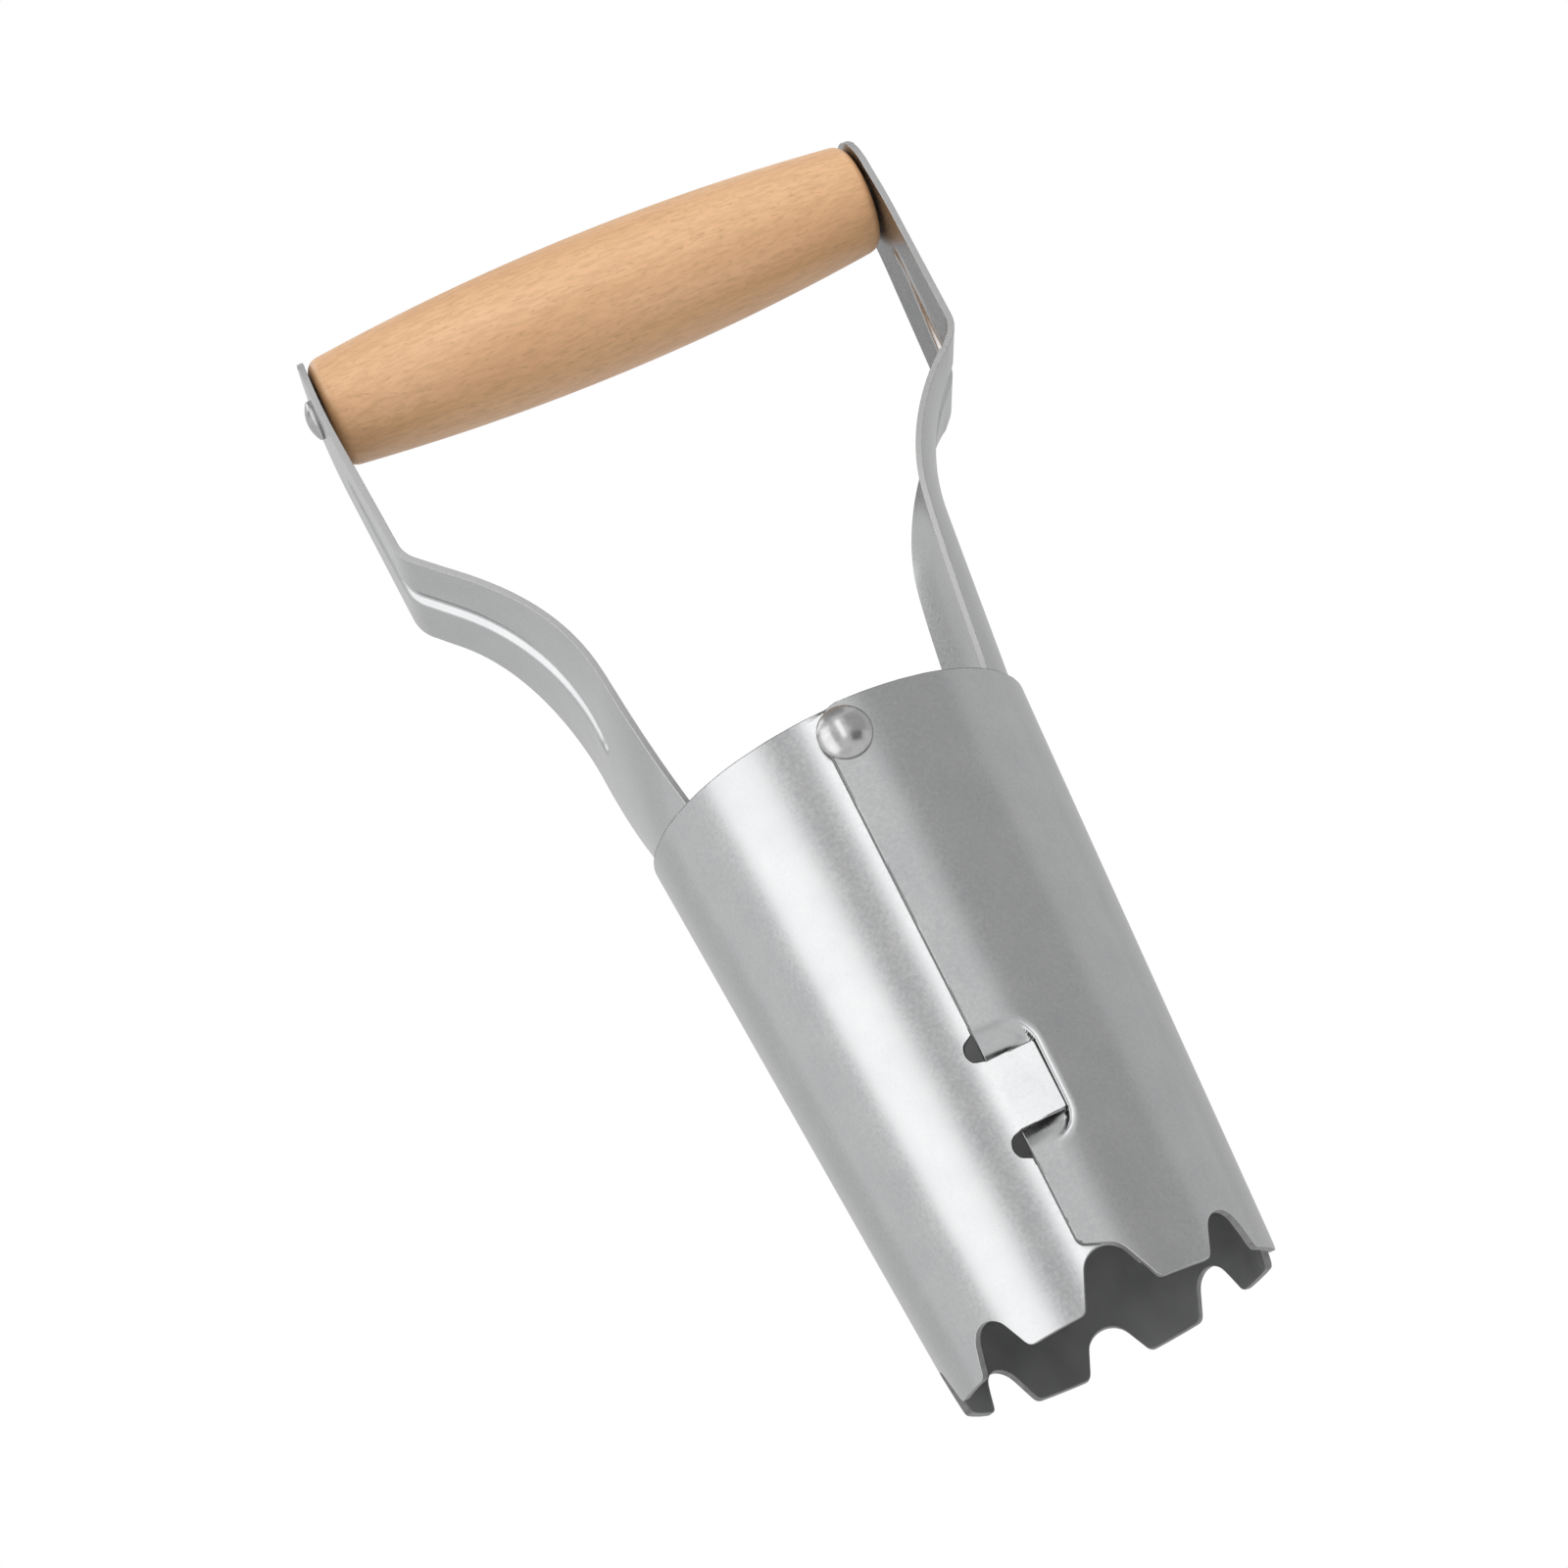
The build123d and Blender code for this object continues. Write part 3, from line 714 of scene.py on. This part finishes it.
@dataclass
class Arm:
    """Bent strap with a pressed bead, its root curved like the wall and its end rounded round the rod."""

    hand: Hand
    flare: float
    toe: float
    neck_height: float
    bow_hold: float
    bow_drop: float
    sheet: float = 1.2
    rim_height: float = 105.0
    root_depth: float = 17.0
    root_reach: float = 31.75
    rim_reach: float = 32.85
    neck_radius: float = 47.0
    shoulder_height: float = 65.4
    shoulder_radius: float = 6.5
    lean: float = 3.0
    axis_height: float = 105.0
    axis_reach: float = 54.7511
    root_width: float = 39.5
    root_hold: float = 0.5
    waist_width: float = 30.5
    shoulder_width: float = 30.0
    end_radius: float = 10.0
    end_drop: float = 2.0
    past_axis: float = 20.0
    pull_start: float = 94.0
    pull: float = 0.0064
    bead_start: float = 26.6
    bead_end_drop: float = 20.6
    bead_end_ease: float = 0.62
    bead_half: float = 2.9
    bead_foot: float = 0.48
    bead_round: float = 0.5
    rib_spread: float = 0.5
    bead_offset: float = -0.5
    bead_depth: float = 1.4
    bead_full: float = 45.0
    bead_fade: float = 16.0
    bead_shares: Span = (0.8, 0.3)
    edge: float = 0.16

    def marks(self) -> tuple[Array, Array]:
        """Arc lengths from the rim and headings at the ends of every straight and bend.

        Returns:
            Lengths along the middle line, and headings from the vertical in radians at them.
        """
        lean, flare = np.radians([self.lean, self.flare])
        shoulder_x = self.axis_reach - (self.axis_height - self.shoulder_height) * np.tan(lean)
        run = shoulder_x - self.rim_reach - self.neck_height * np.tan(flare)
        rise = self.shoulder_height - self.neck_height
        middle = np.arctan2(run, rise)
        neck_cut = self.neck_radius * np.tan((middle - flare) / 2.0)
        shoulder_cut = self.shoulder_radius * np.tan((middle - lean) / 2.0)
        root_heading = np.arctan2(self.rim_reach - self.root_reach, self.root_depth)
        root = self.root_depth / np.cos(root_heading)
        steps = [
            self.neck_height / np.cos(flare) - neck_cut,
            self.neck_radius * (middle - flare),
            np.hypot(run, rise) - neck_cut - shoulder_cut,
            self.shoulder_radius * (middle - lean),
            (self.axis_height - self.shoulder_height + self.past_axis) / np.cos(lean),
        ]
        lengths = np.hstack([[-root, -1e-6, 0.0], np.cumsum(steps)])
        return lengths, np.array([root_heading, root_heading, flare, flare, middle, middle, lean, lean])

    def spine(self, length: Array) -> tuple[Array, Array, Array]:
        """Middle line: the running sum of its heading, straight between the bends.

        Args:
            length: arc lengths from the rim.

        Returns:
            Distance from the axis, height over the rim and heading at each length.
        """
        lengths, headings = self.marks()
        fine = np.linspace(lengths[0], lengths[-1], 20001)
        heading = np.interp(fine, lengths, headings)
        step = fine[1] - fine[0]
        middle = (heading[1:] + heading[:-1]) / 2.0
        x, z = (np.hstack([[0.0], np.cumsum(wave(middle) * step)]) for wave in (np.sin, np.cos))
        lines = (x + self.root_reach, z - self.root_depth, heading)
        return tuple(np.interp(length, fine, line) for line in lines)

    def half_width(self, length: Array) -> Array:
        """Half the strap's width: full, then an even S-curve to the end of the lower bend, then tapers.

        Args:
            length: arc lengths from the rim.

        Returns:
            Half width at each length.
        """
        rise = self.marks()[0][4]
        share = np.clip((length / rise - self.root_hold) / (1.0 - self.root_hold), 0.0, 1.0)
        limb = self.root_width - (self.root_width - self.waist_width) * share**2 * (3.0 - 2.0 * share)
        shoulder, end = self.shoulder_height, self.axis_height - self.end_drop
        stations = [shoulder - self.shoulder_radius, shoulder, end]
        widths = [self.waist_width, self.shoulder_width, 2.0 * self.end_radius]
        taper = np.interp(self.spine(length)[1], stations, widths)
        return np.where(length < rise, limb, taper) / 2.0

    def bead(self, length: Array, across: Array, spread: float) -> Array:
        """Depth of the pressed bead.

        Its walls are t - round * sin(2 pi t) / (2 pi) over the share t of their run, from the lip to the
        foot. Its floor is flat; it is deepest on the middle limb and grows shallow towards both ends.

        Args:
            length: arc length from the rim.
            across: arc length from the middle line.
            spread: how much wider it is on each side.

        Returns:
            Its depth.
        """
        lengths, headings = self.marks()
        start = self.bead_start / np.cos(headings[2])
        upper = self.axis_height - self.bead_end_drop - self.shoulder_height
        stop = lengths[6] + upper / np.cos(headings[6])
        past = np.maximum(np.maximum(start - length, length - stop), 0.0)
        away = np.hypot(past * self.bead_end_ease, across - self.bead_offset)
        run = self.bead_half * (1.0 - self.bead_foot)
        wall = np.clip((self.bead_half + spread - away) / run, 0.0, 1.0)
        wall = wall - self.bead_round * np.sin(2.0 * np.pi * wall) / (2.0 * np.pi)
        low, high = self.bead_shares
        stations = [start, self.bead_full, lengths[5], lengths[6] + self.bead_fade]
        share = np.interp(length, stations, [low, 1.0, 1.0, high])
        return self.bead_depth * share * wall

    def surface(self, length: Array, across: Array, inner: bool) -> Array:
        """One face of the strap.

        A section is an arc of the radius 1 / bow across the heading, turned by the toe, which rises and
        falls as 4(sqrt(t) - t) over the lower limb; the bow fades there as (1 - t^hold)^drop. The rod's
        heads pull the upper end in by pull * h^2 / 2 over the height h past the grip's lower side.

        Args:
            length: arc length from the rim.
            across: arc length from the middle line towards the back.
            inner: whether it is the inner face, where the bead stands out as a wider rib.

        Returns:
            Points of the face.
        """
        x, z, heading = self.spine(length)
        x = x - self.pull * np.maximum(z - self.pull_start, 0.0) ** 2 / 2.0
        share = np.clip(length / self.marks()[0][4], 0.0, 1.0)
        bow = np.maximum((1.0 - share**self.bow_hold) ** self.bow_drop / self.rim_reach, 1e-6)
        toe = np.radians(4.0 * self.toe * (np.sqrt(share) - share))
        flat = np.zeros_like(heading)
        outward = np.stack([np.cos(heading), flat, -np.sin(heading)], axis=-1)
        back = np.array([0.0, 1.0, 0.0])
        turn, still = np.sin(toe)[..., None], np.cos(toe)[..., None]
        side, face = still * back + turn * outward, still * outward - turn * back
        swing = across * bow
        sign, spread = (-1.0, self.rib_spread) if inner else (1.0, 0.0)
        out = sign * self.sheet / 2.0 - self.bead(length, across, spread)
        along = np.sin(swing) / bow + out * np.sin(swing)
        lift = (np.cos(swing) - 1.0) / bow + out * np.cos(swing)
        middle = np.stack([x, flat, z + self.rim_height], axis=-1)
        return middle + along[..., None] * side + lift[..., None] * face

    def skin(self) -> Skin:
        """Strap as a closed slab between its two faces.

        Level rows up to the rounded end, then a half disc whose grid is the square's, drawn in by
        u * sqrt(1 - t^2 / 2) and t * sqrt(1 - u^2 / 2), so that it has no pole.

        Returns:
            The slab.
        """
        lengths, headings = self.marks()
        root = lengths[0]
        end = lengths[6] + (self.axis_height - self.end_drop - self.shoulder_height) / np.cos(headings[6])
        bead_stop = end - (self.bead_end_drop - self.end_drop)
        close = np.arange(-5.7, 5.8, 0.3)
        crowded = [spot + close for spot in (lengths[5], self.bead_start, bead_stop)]
        rows = np.hstack([np.arange(root, end, 1.6), *crowded, [root + 0.5, -0.6, 0.0, end]])
        rows = np.unique(np.round(rows, 1))
        rows = np.hstack([[root], rows[(rows > root + 0.3) & (rows < end - 0.5)], [end]])
        bead, flat, edge = np.arange(0.0, 0.279, 0.011), np.linspace(0.29, 0.94, 12), [0.965, 0.985, 1.0]
        half = np.hstack([bead, flat, edge])
        u = np.hstack([-half[:0:-1], half])[None, :]
        level = rows[:, None] + 0.0 * u
        across = self.half_width(rows)[:, None] * u
        t = np.linspace(0.0, 1.0, 15)[1:, None]
        cap_up = self.end_radius * t * np.sqrt(1.0 - u**2 / 2.0)
        cap_across = self.end_radius * u * np.sqrt(1.0 - t**2 / 2.0)
        length = np.vstack([level, end + cap_up / np.cos(headings[6])])
        across = np.vstack([across, cap_across])
        mirror = np.array([self.hand.value, 1.0, 1.0])
        faces = [self.surface(length, across, inner) for inner in (False, True)]
        return Skin.slab(*(face[:, :: self.hand.value] * mirror for face in faces))

    def build(self, sheet: Material, cut: Material) -> None:
        """Builds and dresses the arm.

        Args:
            sheet: finish of the faces.
            cut: finish of the sheared edges.
        """
        node = self.hand.name.lower() + "_arm"
        piece = self.skin().to_object(node + "_strap", solid=True)
        soften(piece, self.edge)
        dress(piece, node, Slot.SHEET, Body.PLANTER, sheet, cut)


@dataclass
class Grip:
    """Turned barrel with a bore, and the rod that it spins on."""

    axis_height: float = 210.0
    length: float = 106.6
    belly_radius: float = 13.15
    end_radius: float = 10.0
    edge_radius: float = 2.8
    bore_radius: float = 2.58
    rod_radius: float = 2.5
    arm_face: float = 54.9647
    arm_lean: float = -1.03
    head_radius: float = 3.7
    head_height: float = 1.9
    head_edge: float = 0.7

    def barrel(self) -> Skin:
        """Barrel: one flat belly arc, an edge arc tangent to it and to the end face, then the bore.

        Returns:
            Its surface.
        """
        half = self.length / 2.0
        swell = self.belly_radius - self.end_radius
        big = (half**2 + swell**2) / (2.0 * swell)
        edge_x = half - self.edge_radius
        edge_y = self.belly_radius - big + np.sqrt((big - self.edge_radius) ** 2 - edge_x**2)
        slant = np.arctan2(edge_x, edge_y - self.belly_radius + big)
        belly = np.linspace(0.0, slant, 24)
        corner = np.linspace(slant, np.pi / 2.0, 9)[1:]
        face = np.linspace(edge_y, self.bore_radius, 5)[1:]
        corner_x = edge_x + self.edge_radius * np.sin(corner)
        corner_y = edge_y + self.edge_radius * np.cos(corner)
        belly_y = self.belly_radius - big + big * np.cos(belly)
        x = np.hstack([big * np.sin(belly), corner_x, np.full(len(face), half), [half / 2.0, 0.0]])
        y = np.hstack([belly_y, corner_y, face, [self.bore_radius] * 2])
        return self.placed(turn_profile(np.hstack([-x[::-1], x]), np.hstack([y[::-1], y]), 128))

    def placed(self, turned: Array) -> Skin:
        """Surface of a profile turned round the grip's axis."""
        return Skin.from_grid(turned + np.array([0.0, 0.0, self.axis_height]), closed=True)

    def rod(self) -> Skin:
        """Rod with a domed head at each end, each bedded on the plane of its leaning arm.

        Returns:
            Its surface.
        """
        rise, radii = dome(self.head_height, self.head_radius, self.head_edge, 12)
        shaft = np.array([0.0, 0.5, 0.985, 1.0]) * self.arm_face
        x = np.hstack([shaft, self.arm_face + rise])
        radius = np.hstack([np.full(len(shaft), self.rod_radius), radii])
        bed = np.hstack([[0.0, 0.0, 0.0, 1.0, 1.0], np.zeros(len(rise) - 1)])
        turned = turn_profile(np.hstack([-x[::-1], x]), np.hstack([radius[::-1], radius]), 64)
        tilt = np.hstack([-bed[::-1], bed])[:, None] * np.tan(np.radians(self.arm_lean))
        turned[..., 0] += tilt * turned[..., 2]
        return self.placed(turned)

    def build(self, wood: Material, steel: Material) -> None:
        """Builds and dresses the barrel and the rod.

        Args:
            wood: finish of the barrel.
            steel: finish of the rod.
        """
        barrel = self.barrel().to_object("grip_barrel", solid=True)
        dress(barrel, "grip", Slot.BEECH, Body.GRIP, wood)
        rod = self.rod().to_object("grip_pin", solid=True)
        dress(rod, "grip_rod", Slot.RIVET, Body.PLANTER, steel)


@dataclass
class SeamRivet:
    """Domed rivet through both layers of the lap, bedded on the curved wall."""

    sleeve: Sleeve
    angle: float = -1.75
    drop: float = 5.4
    head_radius: float = 4.6
    head_height: float = 2.6
    head_edge: float = 0.4
    shank_radius: float = 2.4
    tail_radius: float = 3.6
    tail_height: float = 1.5
    tail_edge: float = 0.6
    layers: float = 2.5

    def profile(self) -> Skin:
        """Tail, shank and head turned as one; the seats follow the wall, -across^2 / (2 * radius).

        Returns:
            Its surface.
        """
        sleeve = self.sleeve
        head_z, head_r = dome(self.head_height, self.head_radius, self.head_edge, 14)
        tail_z, tail_r = dome(self.tail_height, self.tail_radius, self.tail_edge, 10)
        axial = np.hstack([-self.layers - tail_z[::-1], [-self.layers, 0.0], head_z])
        radial = np.hstack([tail_r[::-1], [self.shank_radius] * 2, head_r])
        turned = turn_profile(axial, radial, 64)
        seat = np.zeros(len(axial))
        seat[len(tail_z) - 1 : len(tail_z) + 3] = 1.0
        height = sleeve.length - self.drop
        radius = sleeve.radius_at(height)
        turned[..., 0] -= seat[:, None] * turned[..., 1] ** 2 / (2.0 * radius)
        turn = np.radians(self.angle)
        taper = np.arctan2(sleeve.rim_radius - sleeve.mouth_radius, sleeve.length)
        out = np.array([np.sin(turn), -np.cos(turn), 0.0])
        across = np.array([np.cos(turn), np.sin(turn), 0.0])
        normal = out * np.cos(taper) - np.array([0.0, 0.0, np.sin(taper)])
        frame_axes = np.stack([normal, across, np.cross(normal, across)])
        touch = sleeve.wall(Hand.RIGHT, self.angle, height)
        return Skin.from_grid(turned @ frame_axes + touch, closed=True)

    def build(self, steel: Material) -> None:
        """Builds and dresses the rivet in its finish."""
        piece = self.profile().to_object("lap_rivet", solid=True)
        dress(piece, "seam_rivet", Slot.RIVET, Body.PLANTER, steel)


@dataclass(frozen=True)
class SoftBox:
    """Soft lamp round the planter, by bearing from the front and height of its middle, in metres."""

    name: str
    bearing: float
    lift: float
    distance: float
    width: float
    tall: float
    radiance: float
    gloss: bool = True
    soft: bool = True
    aim: Triple = (0.0, 0.0, 0.11)

    def build(self) -> None:
        """Hangs the lamp, unseen by the camera."""
        lamp = bpy.data.lights.new(self.name, "AREA")
        lamp.shape = "RECTANGLE"
        lamp.size, lamp.size_y = self.width, self.tall
        lamp.energy = self.radiance * np.pi * self.width * self.tall
        light = linked(self.name, lamp)
        turn, up = np.radians([self.bearing, self.lift])
        away = Vector((np.sin(turn) * np.cos(up), -np.cos(turn) * np.cos(up), np.sin(up)))
        light.location = Vector(self.aim) + away * self.distance
        light.rotation_euler = away.to_track_quat("Z", "Y").to_euler()
        light.visible_camera = False
        light.visible_glossy, light.visible_diffuse = self.gloss, self.soft


LAMPS = (
    SoftBox("left_box", -59.0, 2.0, 1.6, 1.04, 2.9, 1.1, soft=False),
    SoftBox("front_strip", -6.0, 16.0, 1.0, 0.23, 1.2, 1.5, soft=False),
    SoftBox("top_key", -110.0, 55.0, 1.2, 0.7, 0.7, 1.1, soft=False),
    SoftBox("front_fill", 25.0, 28.0, 1.8, 1.4, 1.0, 1.9, gloss=False),
)


def lying(half: float, height: float) -> Array:
    """Corners of a level square sheet round the axis, by half its side and its height."""
    plan = np.array([[-1, -1], [1, -1], [1, 1], [-1, 1]])
    return np.column_stack([half * plan, np.full(4, height)])


def standing(x: Span, y: Span, z: Span) -> Array:
    """Corners of an upright sheet, by X and Y of its two ends and Z of its lower and upper edge."""
    return np.array([[x[0], y[0], z[0]], [x[1], y[1], z[0]], [x[1], y[1], z[1]], [x[0], y[0], z[1]]])


def around(first: float, last: float, low: float = -0.2, high: float = 1.6, reach: float = 1.3) -> Array:
    """Corners of an upright sheet between two bearings from the front, at a distance from the axis."""
    ends = np.radians([first, last])
    return standing(reach * np.sin(ends), -reach * np.cos(ends), (low, high))


# Grey level and corners of each card that the metal reflects
CARDS = {
    "gap_card": (0.8, around(-37.0, -17.0)),
    "right_card": (0.62, around(19.0, 74.0, low=-0.05)),
    "far_card": (0.78, around(74.0, 120.0)),
    "rear_right_card": (0.68, around(120.0, 166.0)),
    "back_card": (0.76, around(166.0, 197.0)),
    "rear_left_card": (0.8, around(197.0, 235.0)),
    "high_left_card": (0.6, around(-135.0, -88.0, low=0.75, high=1.5)),
    "low_front_card": (0.25, around(14.0, 52.0, low=-0.75, high=-0.05)),
    "overhead_card": (0.5, lying(half=0.7, height=1.75)),
    "near_right_card": (0.3, standing(x=(-0.02, 0.1), y=(0.22, 0.22), z=(0.255, 0.6))),
}


@dataclass
class Studio:
    """Pale floor, white surroundings, soft lamps, grey cards and the camera of the photo, in metres."""

    ambient: float = 0.8
    floor_half: float = 2.5
    floor_level: float = 0.86
    floor_roughness: float = 0.9
    lens: float = 76.9466
    sensor: float = 36.0
    right: Triple = (0.90789978, 0.02841978, -0.41822279)
    up: Triple = (0.39615591, -0.38432455, 0.83387957)
    forward: Triple = (0.13703462, 0.92276051, 0.36018684)
    place: Triple = (-0.0872877, -0.5291593, -0.0971326)

    def world(self) -> None:
        """White for camera, glossy and transmitted rays; a plain level for the rest of the light."""
        world = bpy.context.scene.world = bpy.data.worlds.new("studio")
        graph = Graph(world)
        seen = graph.add("LightPath", {}, "Is Camera Ray")
        for kind in ("Is Glossy Ray", "Is Transmission Ray"):
            seen = graph.add("Math", {0: seen, 1: graph.add("LightPath", {}, kind)}, operation="MAXIMUM")
        level = graph.add("MapRange", {"Value": seen, "To Min": self.ambient, "To Max": 1.0})
        graph.set("Background", {"Color": grey(1.0), "Strength": level})

    def plane(self, name: str, corners: Array) -> Piece:
        """Flat sheet of the set.

        Args:
            name: name of the sheet.
            corners: its four corners in metres.

        Returns:
            The sheet.
        """
        mesh = bpy.data.meshes.new(name)
        mesh.from_pydata(corners.tolist(), [], [(0, 1, 2, 3)])
        sheet = linked(name, mesh)
        return sheet

    def floor(self) -> None:
        """Pale floor under the tooth tips, clear from below, where the camera of the photo looks up."""
        floor = self.plane("floor", lying(self.floor_half, 0.0))
        graph = Graph(bpy.data.materials.new("pale_floor"))
        tone, rough = grey(self.floor_level), self.floor_roughness
        graph.set("Principled BSDF", {"Base Color": tone, "Roughness": rough, "Specular IOR Level": 0.0})
        below, clear = graph.add("NewGeometry", {}, "Backfacing"), graph.add("BsdfTransparent", {})
        pale = graph.tree.nodes["Principled BSDF"].outputs[0]
        graph.set("Material Output", {"Surface": graph.add("MixShader", {0: below, 1: pale, 2: clear})})
        floor.data.materials.append(graph.owner)
        floor.visible_glossy = False

    def cards(self) -> None:
        """Grey cards that only the metal sees, which give it its soft bands."""
        for name, (level, corners) in CARDS.items():
            card = self.plane(name, corners)
            card.visible_camera = card.visible_diffuse = False
            card.visible_shadow = card.visible_transmission = False
            graph = Graph(bpy.data.materials.new(name))
            graph.set("Material Output", {"Surface": graph.add("Emission", {"Color": grey(level)})})
            card.data.materials.append(graph.owner)

    def camera(self) -> None:
        """Camera at the photo's place: below and in front, rolled with the planter."""
        lens = bpy.data.cameras.new("photo_view")
        lens.lens, lens.sensor_width = self.lens, self.sensor
        camera = linked("photo_view", lens)
        turn = Matrix((self.right, self.up, -Vector(self.forward))).transposed().to_4x4()
        turn.translation = self.place
        camera.matrix_world = turn
        bpy.context.scene.camera = camera

    def build(self) -> None:
        """Sets up the whole studio."""
        bpy.context.scene.view_settings.view_transform = "Standard"
        self.world()
        self.floor()
        self.cards()
        self.camera()
        for lamp in LAMPS:
            lamp.build()


def main() -> None:
    """Builds every piece in order."""
    logging.basicConfig(level=logging.INFO, format="%(name)s %(message)s")
    sheet, strap_cut, steel = ZINC.make(), STRAP_CUT.make(), BRIGHT_STEEL.make()
    sleeve = Sleeve()
    sleeve.build(sheet, SHADED_MOUTH_CUT.make(), DULL_ZINC.make())
    SeamRivet(sleeve).build(steel)
    left = Arm(Hand.LEFT, flare=0.5, toe=4.8, neck_height=45.6, bow_hold=0.7, bow_drop=2.5)
    right = Arm(Hand.RIGHT, flare=7.2, toe=-1.4, neck_height=50.8, bow_hold=2.4, bow_drop=0.75)
    for arm in (left, right):
        arm.build(sheet, strap_cut)
    Grip().build(BeechFinish().make(), steel)
    Studio().build()


if __name__ == "__main__":
    main()
